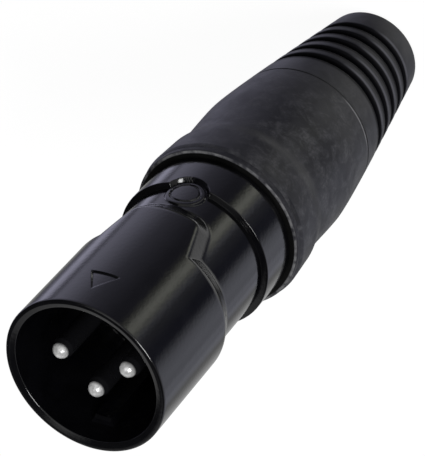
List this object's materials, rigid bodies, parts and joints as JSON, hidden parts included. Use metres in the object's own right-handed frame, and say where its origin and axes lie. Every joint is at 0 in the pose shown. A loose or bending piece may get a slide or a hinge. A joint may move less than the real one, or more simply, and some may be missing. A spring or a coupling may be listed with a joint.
{
  "type": "xlr plug",
  "caption": "Round cable plug with a glossy black die-cast shell, recessed contact pins and a ribbed screw-on boot with a cable way through its tail.",
  "frame": {"origin": "centre of the boot's flat tail face, on which the plug stands", "axes": "+Z along the plug's axis towards the rim of the socket; -Y towards the raised tab and the round boss"},
  "size_m": [0.0208, 0.0208, 0.0738],
  "materials": {
    "shell_metal": "glossy black plate on die-cast metal",
    "insert_plastic": "satin moulded",
    "contact_metal": "silver plate on turned brass",
    "lug_metal": "tinned sheet",
    "chuck_plastic": "satin moulded",
    "nut_plastic": "smooth moulded",
    "sleeve_rubber": "matte moulded with a fine grain"
  },
  "bodies": {
    "boot": {"boot_nut": "nut_plastic", "boot_sleeve": "sleeve_rubber"},
    "chuck": {"chuck": "chuck_plastic"},
    "housing": {"shell": "shell_metal", "contact_insert": "insert_plastic", "pin_left": "contact_metal", "pin_right": "contact_metal", "pin_middle": "contact_metal", "ground_lug": "lug_metal"}
  },
  "joints": [
    {"name": "boot_turn", "type": "hinge", "parent": "boot", "child": "chuck", "pos_m": [0, 0, 0.035], "axis": [0, 0, 1], "range_deg": [0, 1800]},
    {"name": "shell_travel", "type": "slide", "parent": "chuck", "child": "housing", "axis": [0, 0, 1], "range_m": [0, 0.005]}
  ],
  "couplings": [
    {"joint": "shell_travel", "follows": "boot_turn", "m_per_rad": 0.00015915}
  ]
}
